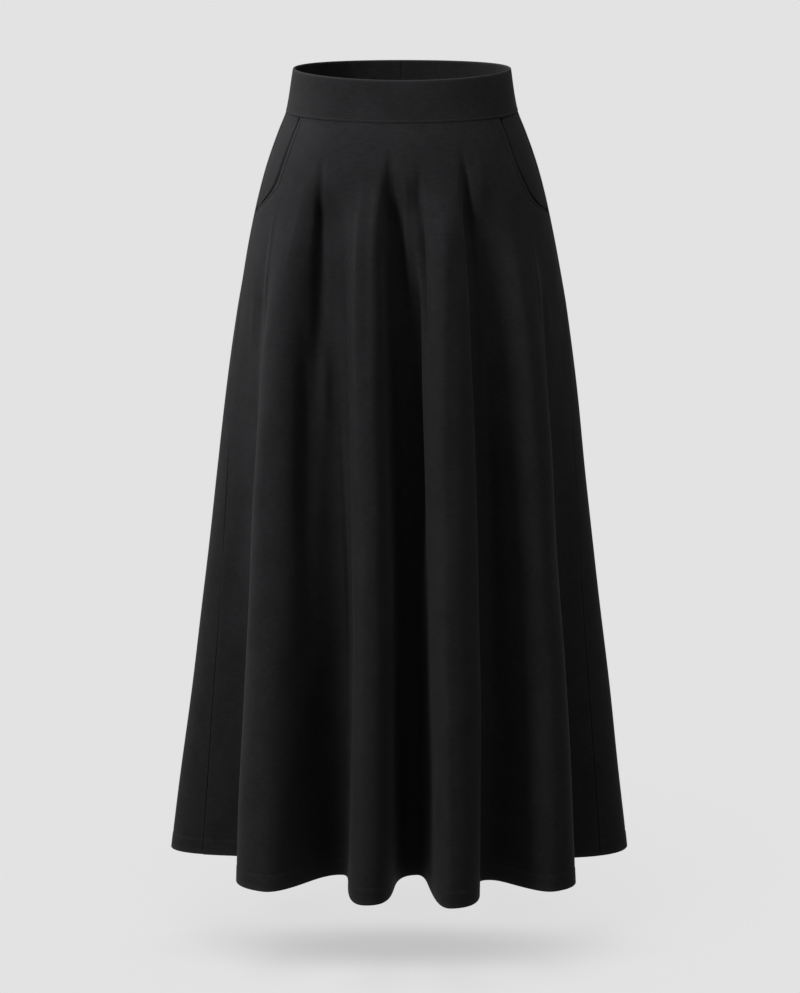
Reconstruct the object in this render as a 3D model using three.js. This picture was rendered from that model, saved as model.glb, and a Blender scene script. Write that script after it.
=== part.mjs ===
// A pull-on maxi skirt with a plain waistband, slanted hip pockets and deep flared folds.
// Millimetres. Z is up, the front faces -Y and the wearer's right is -X.
// The origin is on the waist's centre line, half way down the waistband.
import * as THREE from 'three';

// Main sizes
const LENGTH = 945;
const BAND_HEIGHT = 50;
const BAND_THICKNESS = 3;
const BAND_DIP = 2.5;
const CLOTH = 1.6;
const HIP_CLOTH = 1.2;
const BAG_CLOTH = 1.0;
const SEAM_GAP = 0.3;
const ORIGIN_DROP = BAND_HEIGHT / 2;

// A piece's mesh: columns across it and rows down it
const COLUMNS_PER_FOLD = 7;
const BAND_COLUMNS = 72;
const BAND_ROWS = 4;
const HIP_ROWS = 8;
const HIP_ROW_CROWDING = 0.7;
const SKIRT_ROWS = 10;
const POCKET_COLUMNS = 5;
const BAG_ROWS = 4;

// Turns a table's rows into records under its column names
function table(columns, rows) {
  return rows.map((row) => Object.fromEntries(columns.map((name, k) => [name, row[k]])));
}

// The smooth body of the skirt without its folds: oval rings, each at a drop below the top edge
const RINGS = table(['drop', 'halfWidth', 'frontDepth', 'backDepth'], [
  [0, 125.0, 92, 92],
  [50, 133.5, 99, 99],
  [72, 142.0, 105, 106],
  [95, 150.5, 110, 112],
  [118, 158.0, 114, 117],
  [165, 170.0, 120, 125],
  [235, 183.5, 125, 131],
  [330, 196.0, 130, 136],
  [470, 208.5, 134, 141],
  [620, 220.5, 138, 144],
  [790, 236.0, 142, 147],
  [945, 250.0, 145, 150],
]);

// The folds, in order round the skirt. Turns are degrees from the centre front at the folds' top,
// half way and at the hem. 'out' is how far the hem stands out of its smooth ring there: crests
// are above nought and valleys below it. 'before' and 'after' say how full the cloth runs on
// either side, a third being slack and above a half doubling back. 'starts' is a drop.
const FOLDS = table(['name', 'top', 'middle', 'hem', 'out', 'before', 'after', 'starts'], [
  ['back_valley', -180, -182, -182, -46, 0.55, 0.5, 120],
  ['back_left', -167, -168, -168, 44, 0.6, 0.55, 130],
  ['back_left_valley', -152, -153, -154, -44, 0.5, 0.55, 150],
  ['rear_left', -138, -139, -139, 40, 0.5, 0.6, 185],
  ['side_left_valley', -122, -121, -121, -42, 0.6, 0.5, 215],
  ['left_side', -102, -99, -98.5, 31, 0.55, 0.36, 215],
  ['left_valley', -63, -63, -65, -60, 0.7, 0.58, 215],
  ['left_front', -45, -44, -37, 31, 0.73, 0.41, 150],
  ['left_inner_valley', -32.5, -28, -18.7, -55, 0.49, 0.44, 110],
  ['centre_left', -14.7, -10.3, -8.8, 51, 0.68, 0.74, 115],
  ['centre_valley', -5.5, 1, 4.6, -60, 0.87, 0.7, 100],
  ['centre_right', 20.5, 15.3, 11.6, 63, 0.83, 0.8, 115],
  ['right_inner_valley', 30, 28.5, 25.4, -28, 0.47, 0.43, 120],
  ['right_front', 46, 46, 41, 37, 0.44, 0.81, 180],
  ['right_valley', 63, 63, 62.3, -55, 0.58, 0.52, 215],
  ['right_side', 102, 100, 102.7, 27, 0.44, 0.55, 215],
  ['side_right_valley', 122, 121, 121, -38, 0.5, 0.6, 215],
  ['rear_right', 137, 137, 137, 40, 0.58, 0.5, 185],
  ['back_right_valley', 150, 150, 150, -42, 0.5, 0.5, 150],
  ['back_right', 164, 164, 164, 46, 0.55, 0.55, 130],
]);
const FOLDS_TOP = 100;
const GROWTH = 1.05;
const FULLNESS_GROWTH = 0.6;
const SLACK = 1 / 3;

// A slanted pocket's edge, as turns at drops; it ends at the side seam
const POCKET_EDGE = table(['drop', 'left', 'right'], [
  [50, -60.4, 56.2],
  [75, -61.6, 57.2],
  [100, -62.8, 58.8],
  [120, -65.2, 61.6],
  [135, -69.4, 65.6],
  [150, -77.5, 72.6],
  [166, -88, 88],
]);
const POCKET_END = 166;

// The rounded inner edge of the pocket bag, as turns at drops, down to its bottom
const BAG_EDGE = table(['drop', 'turn'], [
  [50, 38],
  [166, 41],
  [215, 45],
  [245, 52],
  [262, 62],
  [270, 74],
]);
const BAG_BOTTOM = 270;

// How deep the bag and the hip piece lie behind the front panel's face, each with a little slack,
// and where the hip piece sinks in at the side seam
const POCKET_SLACK = 0.3;
const BAG_DEPTH = CLOTH + SEAM_GAP + POCKET_SLACK;
const HIP_DEPTH = BAG_DEPTH + BAG_CLOTH + SEAM_GAP + 2 * POCKET_SLACK;
const HIP_SINK_START = 118;
const HIP_SINK_END = 147;

// The side seams run this far along the way from one fold's crest or valley to the next
const SEAM_LEFT = indexOfFold('left_side') + 0.47;
const SEAM_RIGHT = indexOfFold('right_valley') + 0.52;
const LIMIT_LEFT = indexOfFold('left_front');
const LIMIT_RIGHT = indexOfFold('right_front');
// Shares of the way from one fold to the next: half a seam's gap, the hip piece's turning behind
// the pocket edge and its least width there, how far the bag stands back, and a small step
const HALF_GAP_PLACE = 0.0018;
const HIP_TURN_PLACE = 0.04;
const HIP_LEAST_PLACE = 0.02;
const BAG_BACK_PLACE = 0.03;
const PLACE_STEP = 1e-3;

const CHARCOAL = 0x232325;
const INK = 0x1c1c1e;
const ROUGHNESS = 0.85;

function indexOfFold(name) {
  return FOLDS.findIndex((fold) => fold.name === name);
}

function clamp(value, low, high) {
  return Math.min(high, Math.max(low, value));
}

function smooth(value) {
  const t = clamp(value, 0, 1);
  return t * t * (3 - 2 * t);
}

function mix(a, b, t) {
  return a + (b - a) * t;
}

// A steady curve through a table: no overshoot between its rows
function curve(rows, input, output, x) {
  const xs = rows.map((row) => row[input]);
  const ys = rows.map((row) => row[output]);
  const last = xs.length - 1;
  const width = (k) => xs[k + 1] - xs[k];
  const rise = (k) => (ys[k + 1] - ys[k]) / width(k);
  const slope = (k) => {
    if (k === 0) return rise(0);
    if (k === last) return rise(last - 1);
    if (rise(k - 1) * rise(k) <= 0) return 0;
    const left = 2 * width(k) + width(k - 1);
    const right = width(k) + 2 * width(k - 1);
    return (left + right) / (left / rise(k - 1) + right / rise(k));
  };
  let k = 0;
  while (k < last - 1 && x > xs[k + 1]) k += 1;
  const t = clamp((x - xs[k]) / width(k), 0, 1);
  const s = smooth(t);
  const enter = t * (1 - t) * (1 - t) * width(k) * slope(k);
  const leave = t * t * (t - 1) * width(k) * slope(k + 1);
  return mix(ys[k], ys[k + 1], s) + enter + leave;
}

// A fold's turn at a drop: one bend through its top, middle and hem turns
function turnOf(fold, drop) {
  const t = clamp((drop - FOLDS_TOP) / (LENGTH - FOLDS_TOP), 0, 1);
  return fold.top * (1 - t) * (1 - 2 * t) + 4 * fold.middle * t * (1 - t) + fold.hem * t * (2 * t - 1);
}

function growthOf(fold, drop) {
  return clamp((drop - fold.starts) / (LENGTH - fold.starts), 0, 1) ** GROWTH;
}

// The folds either side of a place; places count the folds and wrap round
function foldsAt(place) {
  const count = FOLDS.length;
  const lap = Math.floor(place / count);
  const index = Math.floor(place - lap * count);
  const next = index + 1 === count ? 0 : index + 1;
  const lapTurn = 360 * lap;
  return {
    first: FOLDS[index],
    second: FOLDS[next],
    firstLap: lapTurn,
    secondLap: index + 1 === count ? lapTurn + 360 : lapTurn,
    share: place - lap * count - index,
  };
}

// A point of the skirt's face in plan
function facePoint(place, drop) {
  const { first, second, firstLap, secondLap, share } = foldsAt(place);
  const firstGrowth = growthOf(first, drop);
  const secondGrowth = growthOf(second, drop);
  const fullness = ((firstGrowth + secondGrowth) / 2) ** FULLNESS_GROWTH;
  const after = mix(SLACK, first.after, fullness);
  const before = mix(SLACK, second.before, fullness);
  const rest = 1 - share;
  const along = 3 * share * rest * rest * after + 3 * share * share * rest * (1 - before) + share ** 3;
  const out = mix(first.out * firstGrowth, second.out * secondGrowth, smooth(share));
  const turn = mix(turnOf(first, drop) + firstLap, turnOf(second, drop) + secondLap, along);
  const angle = THREE.MathUtils.degToRad(turn);
  const halfWidth = curve(RINGS, 'drop', 'halfWidth', drop);
  const front = curve(RINGS, 'drop', 'frontDepth', drop);
  const back = curve(RINGS, 'drop', 'backDepth', drop);
  const depth = mix(back, front, (1 + Math.cos(angle)) / 2);
  const normal = new THREE.Vector2(Math.sin(angle) / halfWidth, -Math.cos(angle) / depth).normalize();
  return new THREE.Vector2(halfWidth * Math.sin(angle), -depth * Math.cos(angle))
    .addScaledVector(normal, out);
}

// The outward direction in plan
function faceNormal(place, drop) {
  const ahead = facePoint(place + PLACE_STEP, drop);
  const behind = facePoint(place - PLACE_STEP, drop);
  const run = ahead.sub(behind);
  return new THREE.Vector2(run.y, -run.x).normalize();
}

// A point set in from the face by a depth
function pointAt(place, drop, inset, height) {
  const point = facePoint(place, drop).addScaledVector(faceNormal(place, drop), -inset);
  return new THREE.Vector3(point.x, point.y, height);
}

// The place of a turn above the folds or near the hips, where they have hardly begun
function placeOfTurn(turn, drop) {
  const turns = FOLDS.map((fold) => turnOf(fold, drop));
  turns.push(turns[0] + 360);
  let index = 0;
  while (index < FOLDS.length - 1 && turns[index + 1] < turn) index += 1;
  return index + (turn - turns[index]) / (turns[index + 1] - turns[index]);
}

// A closed wall of cloth from two grids of points, rows from the top down
function wall(outer, inner) {
  const rows = outer.length;
  const columns = outer[0].length;
  const points = outer.flat().concat(inner.flat());
  const faces = [];
  const out = (row, column) => row * columns + column;
  const back = (row, column) => rows * columns + out(row, column);
  const quad = (a, b, c, d) => faces.push(a, b, c, a, c, d);
  for (let row = 0; row < rows - 1; row += 1) {
    for (let column = 0; column < columns - 1; column += 1) {
      quad(out(row, column), out(row + 1, column), out(row + 1, column + 1), out(row, column + 1));
      quad(back(row, column), back(row, column + 1), back(row + 1, column + 1), back(row + 1, column));
    }
  }
  for (let column = 0; column < columns - 1; column += 1) {
    const low = rows - 1;
    quad(out(0, column), out(0, column + 1), back(0, column + 1), back(0, column));
    quad(out(low, column + 1), out(low, column), back(low, column), back(low, column + 1));
  }
  for (let row = 0; row < rows - 1; row += 1) {
    const end = columns - 1;
    quad(out(row, 0), back(row, 0), back(row + 1, 0), out(row + 1, 0));
    quad(out(row, end), out(row + 1, end), back(row + 1, end), back(row, end));
  }
  const geometry = new THREE.BufferGeometry();
  geometry.setAttribute('position', new THREE.Float32BufferAttribute(points.flatMap((p) => p.toArray()), 3));
  geometry.setIndex(faces);
  geometry.computeVertexNormals();
  return geometry;
}

// Builds a wall whose places, inset and thickness are given for each drop and column
function clothWall({ drops, columns, placeAt, insetAt, thickness, heightAt }) {
  const grid = (extra) => drops.map((drop) => {
    const line = [];
    for (let column = 0; column < columns; column += 1) {
      const place = placeAt(column, drop);
      const height = heightAt ? heightAt(place, drop) : ORIGIN_DROP - drop;
      line.push(pointAt(place, drop, insetAt(place, drop) + extra, height));
    }
    return line;
  });
  return wall(grid(0), grid(thickness));
}

function evenDrops(start, end, steps, power = 1) {
  return Array.from({ length: steps + 1 }, (_, k) => mix(start, end, (k / steps) ** power));
}

const PANEL_TOP = BAND_HEIGHT + SEAM_GAP;
const hipDrops = evenDrops(PANEL_TOP, POCKET_END, HIP_ROWS, HIP_ROW_CROWDING);
const bagDrops = hipDrops.concat(evenDrops(POCKET_END, BAG_BOTTOM, BAG_ROWS).slice(1));
const panelDrops = bagDrops.concat(evenDrops(BAG_BOTTOM, LENGTH, SKIRT_ROWS).slice(1));

// The pocket opening's edge as a place, meeting the side seam at its foot
function openingPlace(side, drop) {
  const seam = side === 'left' ? SEAM_LEFT : SEAM_RIGHT;
  if (drop >= POCKET_END) return seam;
  const place = placeOfTurn(curve(POCKET_EDGE, 'drop', side, drop), drop);
  const foot = placeOfTurn(curve(POCKET_EDGE, 'drop', side, POCKET_END), POCKET_END);
  const share = smooth((drop - PANEL_TOP) / (POCKET_END - PANEL_TOP));
  return place + (seam - foot) * share;
}

function bagPlace(side, drop) {
  const turn = curve(BAG_EDGE, 'drop', 'turn', drop);
  return placeOfTurn(side === 'left' ? -turn : turn, drop);
}

// Front panel: its columns close up toward the pocket openings
function buildFrontPanel() {
  const left = SEAM_LEFT + HALF_GAP_PLACE;
  const right = SEAM_RIGHT - HALF_GAP_PLACE;
  const columns = Math.round((right - left) * COLUMNS_PER_FOLD) + 1;
  const placeAt = (column, drop) => {
    const place = mix(left, right, column / (columns - 1));
    if (place < LIMIT_LEFT) {
      const edge = openingPlace('left', drop) + HALF_GAP_PLACE;
      return mix(edge, LIMIT_LEFT, (place - left) / (LIMIT_LEFT - left));
    }
    if (place > LIMIT_RIGHT) {
      const edge = openingPlace('right', drop) - HALF_GAP_PLACE;
      return mix(edge, LIMIT_RIGHT, (right - place) / (right - LIMIT_RIGHT));
    }
    return place;
  };
  return clothWall({ drops: panelDrops, columns, placeAt, insetAt: () => 0, thickness: CLOTH });
}

function buildBackPanel() {
  const start = SEAM_RIGHT + HALF_GAP_PLACE;
  const end = SEAM_LEFT + FOLDS.length - HALF_GAP_PLACE;
  const columns = Math.round((end - start) * COLUMNS_PER_FOLD) + 1;
  const placeAt = (column) => mix(start, end, column / (columns - 1));
  return clothWall({ drops: panelDrops, columns, placeAt, insetAt: () => 0, thickness: CLOTH });
}

// Waistband: one strip from the centre back round to the centre back
function buildWaistband() {
  const gap = THREE.MathUtils.radToDeg(SEAM_GAP / 2 / RINGS[0].halfWidth);
  const placeAt = (column, drop) => placeOfTurn(mix(-180 + gap, 180 - gap, column / BAND_COLUMNS), drop);
  const heightAt = (place, drop) => {
    const point = facePoint(place, drop);
    const side = point.x / curve(RINGS, 'drop', 'halfWidth', drop);
    const dip = BAND_DIP * (1 - side * side) * (1 - drop / BAND_HEIGHT);
    return ORIGIN_DROP - drop - dip;
  };
  return clothWall({
    drops: evenDrops(0, BAND_HEIGHT, BAND_ROWS),
    columns: BAND_COLUMNS + 1,
    placeAt,
    insetAt: () => 0,
    thickness: BAND_THICKNESS,
    heightAt,
  });
}

// Hip piece: level with the back panel at the side seam, sunk under the front panel's pocket edge
function buildHipPiece(side) {
  const seam = side === 'left' ? SEAM_LEFT + HALF_GAP_PLACE : SEAM_RIGHT - HALF_GAP_PLACE;
  const sign = side === 'left' ? 1 : -1;
  const columns = 2 * POCKET_COLUMNS + 1;
  const foldUnder = (drop) => {
    const least = seam + sign * HIP_LEAST_PLACE;
    const edge = openingPlace(side, drop) - sign * HIP_TURN_PLACE;
    return sign > 0 ? Math.max(edge, least) : Math.min(edge, least);
  };
  const placeAt = (column, drop) => {
    const inward = side === 'left' ? column : columns - 1 - column;
    if (inward <= POCKET_COLUMNS) return mix(seam, foldUnder(drop), inward / POCKET_COLUMNS);
    return mix(foldUnder(drop), bagPlace(side, drop), (inward - POCKET_COLUMNS) / POCKET_COLUMNS);
  };
  const insetAt = (place, drop) => {
    const share = Math.abs(place - seam) / Math.abs(foldUnder(drop) - seam);
    const sink = smooth((drop - HIP_SINK_START) / (HIP_SINK_END - HIP_SINK_START));
    return HIP_DEPTH * mix(smooth(share), 1, sink);
  };
  return clothWall({ drops: bagDrops, columns, placeAt, insetAt, thickness: HIP_CLOTH });
}

// Pocket bag: lies behind the front panel from the opening's edge to the bag's rounded edge
function buildPocketBag(side) {
  const sign = side === 'left' ? 1 : -1;
  const columns = POCKET_COLUMNS + 2;
  const placeAt = (column, drop) => {
    const inward = side === 'left' ? column : columns - 1 - column;
    const edge = openingPlace(side, drop) + sign * BAG_BACK_PLACE;
    return mix(edge, bagPlace(side, drop), inward / (columns - 1));
  };
  const insetAt = () => BAG_DEPTH;
  return clothWall({ drops: bagDrops, columns, placeAt, insetAt, thickness: BAG_CLOTH });
}

function addPiece(group, name, geometry, color) {
  const material = new THREE.MeshStandardMaterial({ color, roughness: ROUGHNESS, metalness: 0 });
  const mesh = new THREE.Mesh(geometry, material);
  mesh.name = name;
  group.add(mesh);
}

const skirt = new THREE.Group();
skirt.name = 'maxi_skirt';
addPiece(skirt, 'waistband', buildWaistband(), CHARCOAL);
addPiece(skirt, 'front_panel', buildFrontPanel(), CHARCOAL);
addPiece(skirt, 'back_panel', buildBackPanel(), CHARCOAL);
addPiece(skirt, 'hip_piece_left', buildHipPiece('left'), CHARCOAL);
addPiece(skirt, 'hip_piece_right', buildHipPiece('right'), CHARCOAL);
addPiece(skirt, 'pocket_bag_left', buildPocketBag('left'), INK);
addPiece(skirt, 'pocket_bag_right', buildPocketBag('right'), INK);

export default skirt;
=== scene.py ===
# Maxi skirt: fine cloth shells on the same rings and folds as the solids, with creases, rolled
# seam edges, a turned-up hem, stitching, crepe cloth, and a plain pale studio.
import math
from collections import namedtuple

import bpy
import numpy as np
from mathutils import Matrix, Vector


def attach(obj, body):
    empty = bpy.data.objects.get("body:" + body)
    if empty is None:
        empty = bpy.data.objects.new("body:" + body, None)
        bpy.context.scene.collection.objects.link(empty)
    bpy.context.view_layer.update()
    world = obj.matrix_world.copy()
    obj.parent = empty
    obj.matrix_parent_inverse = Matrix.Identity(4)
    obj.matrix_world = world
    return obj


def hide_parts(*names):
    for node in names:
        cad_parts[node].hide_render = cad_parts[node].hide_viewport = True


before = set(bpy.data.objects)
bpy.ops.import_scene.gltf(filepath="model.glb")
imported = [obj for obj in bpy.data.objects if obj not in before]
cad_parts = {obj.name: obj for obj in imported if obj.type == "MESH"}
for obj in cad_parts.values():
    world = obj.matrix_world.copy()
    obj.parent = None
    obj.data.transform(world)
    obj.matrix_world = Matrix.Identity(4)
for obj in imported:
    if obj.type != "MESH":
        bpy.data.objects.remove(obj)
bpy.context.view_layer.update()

MM = 0.001

# Sizes, in millimetres unless they say otherwise
LENGTH = 945
BAND_HEIGHT = 50
BAND_THICKNESS = 2.8
BAND_DIP = 2.5
BAND_SLACK = 0.25
BAND_OVERHANG = 0.4
BAND_END_GAP = 0.03
ORIGIN_DROP = BAND_HEIGHT / 2
CLOTH = 1.3
HIP_CLOTH = 0.9
BAG_CLOTH = 0.6
BAG_DEPTH = 1.9
HIP_DEPTH = 3.2
SEAM_GAP = 0.3
SEAM_ALLOWANCE = 12
ALLOWANCE_THICKNESS = 1.0
HEM_TURN_UP = 19
HEM_THICKNESS = 1.0
HEM_STEP = 0.3
HEM_STEP_RUN = 3
STITCH_DIMPLE = 0.2

# How far the rows of stitches lie from the hem's turned-up edge, the band's edge and the pocket's
HEM_STITCH_RISE = 1.5
BAND_STITCH_RISE = 2.4
POCKET_STITCH_INSET = 6

# Stitches: how far apart, how long, how wide, and how far out from the cloth's face
Stitch = namedtuple("Stitch", "pitch length width out")
POCKET_STITCH = Stitch(3.0, 2.2, 0.5, -0.2)
BAND_STITCH = Stitch(3.0, 2.1, 0.5, 0.05)
HEM_STITCH = Stitch(8.0, 1.1, 0.45, -0.3)
POCKET_LINE_POINTS = 80
BAND_LINE_POINTS = 400
HEM_LINE_POINTS = 700

# A panel's widths on its flat cut, at the waist and at the hem
FRONT_WIDTHS = (355, 1133)
BACK_WIDTHS = (380, 1182)
# The waistband's length on its flat cut for each degree round
BAND_CUT_A_DEGREE = 2.0

# How far a wall's inner edge lies past its outer one, so that no light comes through a seam
SEAM_LAP = 3
SEAM_LAP_RUN = 100
BAND_LAP = 0.8

# Radii of the rolled edges
EDGE_ROLL = 1.0
HEM_INNER_ROLL = 0.9
BAND_FOLD_ROLL = 1.35
BAND_SEAM_ROLL = 0.6
BAND_END_ROLL = 0.4
BAND_INNER_END_ROLL = 1.1
HIP_SIDE_ROLL = 0.8
HIP_TOP_ROLL = 0.9

# Just below the waistband: how far down the cloth is tucked, gathered and kept from creasing
TUCK_RUN = 9
PUCKER_RUN = 5
PUCKER_OUT = 0.22
PUCKER_RATE = 61
CALM_RUN = 20

# Rows and columns of points
PANEL_ROWS = 116
FRONT_COLUMNS = 292
BACK_COLUMNS = 322
BAND_COLUMNS = 300
BAND_ROWS = 22
HIP_ROWS = 64
BAG_ROWS = 44
BAG_COLUMNS = 22
ROW_EDGE = 1.2
BAND_ROW_EDGE = 1.4
BAND_EDGE_DEGREES = 0.5
HEM_ROW_HEIGHTS = np.array([4.5, 3, 1.8, 0.6, -0.6, -2])

Ring = namedtuple("Ring", "drop half_width front_depth back_depth")
RINGS = [
    Ring(0, 125.0, 92, 92),
    Ring(50, 133.5, 99, 99),
    Ring(72, 142.0, 105, 106),
    Ring(95, 150.5, 110, 112),
    Ring(118, 158.0, 114, 117),
    Ring(165, 170.0, 120, 125),
    Ring(235, 183.5, 125, 131),
    Ring(330, 196.0, 130, 136),
    Ring(470, 208.5, 134, 141),
    Ring(620, 220.5, 138, 144),
    Ring(790, 236.0, 142, 147),
    Ring(945, 250.0, 145, 150),
]

Fold = namedtuple("Fold", "name top middle hem out before after starts rise")
FOLDS = [
    Fold("back_valley", -180, -182, -182, -46, 0.55, 0.5, 120, 0.8),
    Fold("back_left", -167, -168, -168, 44, 0.6, 0.55, 130, 0.8),
    Fold("back_left_valley", -152, -153, -154, -44, 0.5, 0.55, 150, 0.8),
    Fold("rear_left", -138, -139, -139, 40, 0.5, 0.6, 185, 0.9),
    Fold("side_left_valley", -122, -121, -121, -42, 0.6, 0.5, 215, 1.05),
    Fold("left_side", -102, -99, -98.5, 31, 0.55, 0.36, 215, 1.05),
    Fold("left_valley", -63, -63, -65, -60, 0.7, 0.58, 215, 1.05),
    Fold("left_front", -45, -44, -37, 31, 0.73, 0.41, 140, 0.6),
    Fold("left_inner_valley", -35, -20.8, -18.7, -55, 0.49, 0.44, 105, 0.52),
    Fold("centre_left", -11.6, -9.6, -8.8, 51, 0.68, 0.8, 110, 0.62),
    Fold("centre_valley", -5.5, 3.2, 4.6, -60, 0.87, 0.7, 100, 0.55),
    Fold("centre_right", 15.5, 13, 11.6, 63, 0.83, 0.8, 110, 0.62),
    Fold("right_inner_valley", 29, 30, 25.4, -28, 0.47, 0.43, 110, 0.5),
    Fold("right_front", 46, 46, 41, 37, 0.44, 0.81, 160, 0.65),
    Fold("right_valley", 63, 63, 62.3, -55, 0.58, 0.52, 215, 1.05),
    Fold("right_side", 102, 100, 102.7, 27, 0.44, 0.55, 215, 1.05),
    Fold("side_right_valley", 122, 121, 121, -38, 0.5, 0.6, 215, 1.05),
    Fold("rear_right", 137, 137, 137, 40, 0.58, 0.5, 185, 0.9),
    Fold("back_right_valley", 150, 150, 150, -42, 0.5, 0.5, 150, 0.8),
    Fold("back_right", 164, 164, 164, 46, 0.55, 0.55, 130, 0.8),
]
COUNT = len(FOLDS)
FOLDS_TOP = 100
FULLNESS_GROWTH = 0.35
SLACK = 1 / 3
SOFT_START = 60

# Creases that give each fold its head and its sharper lines: the places of their heads and tails (a
# place counts the folds, with the share of the way to the next), the drops of their heads and tails,
# half their width there, the share of the way down where they are fullest, and how far they stand
# out there (a trough is below nought)
Crease = namedtuple(
    "Crease", "head_place tail_place head_drop tail_drop head_width tail_width fullest out"
)
CREASES = [
    Crease(10.02, 10.14, 74, 340, 4, 12, 0.2, -7.5),
    Crease(10.30, 10.24, 84, 300, 5, 7, 0.35, 4.6),
    Crease(10.62, 10.60, 82, 420, 4.5, 7, 0.35, -10.5),
    Crease(10.36, 10.24, 175, 640, 7, 13, 0.22, -14.0),
    Crease(8.84, 8.90, 86, 620, 5, 9, 0.2, 2.8),
    Crease(8.80, 8.86, 84, 600, 2.4, 3.2, 0.2, 1.5),
    Crease(7.85, 7.72, 80, 430, 4, 12, 0.25, -7.5),
    Crease(7.54, 7.52, 262, 720, 9, 15, 0.3, -6.0),
    Crease(7.84, 7.80, 270, 450, 7, 9, 0.4, 4.2),
    Crease(8.40, 8.34, 150, 580, 8, 12, 0.35, -11.0),
    Crease(8.56, 8.10, 270, 760, 8, 12, 0.3, -6.5),
    Crease(11.92, 11.70, 74, 470, 4, 17, 0.18, -9.0),
    Crease(11.66, 12.05, 240, 800, 15, 20, 0.35, -10.0),
    Crease(11.76, 11.80, 470, 1100, 12, 16, 0.4, -6.0),
    Crease(11.02, 10.86, 100, 560, 8, 14, 0.25, 3.8),
    Crease(10.90, 10.74, 130, 520, 2.6, 3.6, 0.3, 0.9),
    Crease(12.35, 12.25, 84, 180, 6, 9, 0.3, 1.8),
    Crease(6.08, 6.72, 124, 400, 3, 4.5, 0.4, 1.9),
    Crease(5.93, 5.93, 236, 330, 5, 7, 0.5, 1.4),
    Crease(13.00, 12.76, 160, 540, 9, 14, 0.3, 2.6),
    Crease(13.80, 13.12, 146, 420, 3, 4.5, 0.4, 1.9),
    Crease(14.01, 14.04, 232, 330, 5, 7, 0.5, 1.5),
    Crease(13.20, 13.10, 420, 720, 14, 18, 0.5, -1.8),
    Crease(6.90, 7.20, 330, 700, 12, 18, 0.5, -2.0),
    Crease(0.05, 0.02, 84, 400, 4, 16, 0.22, -6.2),
    Crease(0.42, 0.36, 92, 260, 6, 8, 0.4, 2.0),
    Crease(19.55, 19.50, 90, 310, 4, 8, 0.3, -3.0),
    Crease(1.10, 1.00, 86, 600, 7, 14, 0.2, 4.0),
    Crease(2.12, 2.00, 90, 390, 4, 14, 0.25, -6.0),
    Crease(2.48, 2.45, 300, 720, 9, 15, 0.3, -3.5),
    Crease(1.62, 1.66, 280, 450, 7, 9, 0.4, 2.8),
    Crease(18.18, 18.04, 84, 420, 4, 15, 0.2, -6.6),
    Crease(18.80, 18.94, 100, 560, 8, 14, 0.3, 3.9),
    Crease(17.10, 17.00, 140, 440, 7, 12, 0.3, 2.5),
    Crease(3.10, 3.00, 140, 450, 7, 12, 0.3, 2.6),
    Crease(16.40, 16.10, 160, 470, 5, 13, 0.3, -3.0),
    Crease(4.25, 4.05, 150, 450, 5, 12, 0.3, -2.8),
    Crease(15.40, 15.50, 330, 640, 12, 15, 0.5, -1.6),
]

# The pocket opening's edge and the bag's inner edge, as turns at drops
Edge = namedtuple("Edge", "drop left right")
POCKET_EDGE = [
    Edge(50, -60.4, 56.2),
    Edge(75, -61.6, 57.2),
    Edge(100, -62.8, 58.8),
    Edge(120, -65.2, 61.6),
    Edge(135, -69.4, 65.6),
    Edge(150, -77.5, 72.6),
    Edge(166, -88, 88),
]
POCKET_END = 166
BagEdge = namedtuple("BagEdge", "drop turn")
BAG_EDGE = [
    BagEdge(50, 38),
    BagEdge(166, 41),
    BagEdge(215, 45),
    BagEdge(245, 52),
    BagEdge(262, 62),
    BagEdge(270, 74),
]
BAG_BOTTOM = 270
HIP_SINK_START = 156
HIP_SINK_END = 166

# The slow small waves of the hanging cloth, by place and by drop
Wave = namedtuple("Wave", "strength a_place a_drop phase")
WAVES = [
    Wave(1.0, 4.1, 0.013, 0.0),
    Wave(0.7, 7.3, -0.021, 1.3),
    Wave(0.5, 12.7, 0.034, 0.4),
]
WAVE_HEIGHT = 0.35
WAVES_START = 95
WAVES_RUN = 160

INDEX = {fold.name: k for k, fold in enumerate(FOLDS)}
SEAM_LEFT = INDEX["left_side"] + 0.47
SEAM_RIGHT = INDEX["right_valley"] + 0.52
LIMIT_LEFT = INDEX["left_front"]
LIMIT_RIGHT = INDEX["right_front"]
PANEL_TOP = BAND_HEIGHT + SEAM_GAP
LAP_TOP = BAG_BOTTOM + 20
SIDES = ("left", "right")

# Shares of a place: half a seam's gap, a small step, the panels' rolled edge, the finer columns by
# the pocket edge, how far outside that edge the hip piece has sunk, its least width, how far inside
# the edge the bag starts, and how far from a seam the hem's stitches end
HALF_GAP_PLACE = 0.0005
STEP = 1e-3
ROLL_PLACE = 0.02
WELT_PLACE = 0.24
WELT_COLUMNS = 16
HIP_SUNK_PLACE = 0.04
HIP_LEAST_PLACE = 0.02
BAG_START_PLACE = 0.03
HEM_STITCH_PLACE = 0.03

# The hip piece's columns: nought is the side seam, 1 is by the pocket edge, 2 the bag's inner edge
HIP_SHARES = np.concatenate([
    np.linspace(0, 0.8, 14), np.linspace(0.8, 1, 20)[1:], np.linspace(1, 2, 18)[1:]
])
# It sinks gently by one share of its depth and steeply, near the pocket edge, by the rest
HIP_GENTLE_FALL = 0.4
HIP_STEEP_START = 0.86
HIP_STEEP_RUN = 0.1

# Shape formulas


def smooth(value):
    t = np.clip(value, 0, 1)
    return t * t * (3 - 2 * t)


def mix(a, b, t):
    return a + (b - a) * t


def mound(distance, width):
    """A soft hump across a line, one high."""
    return np.exp(-((distance / width) ** 2))


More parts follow.
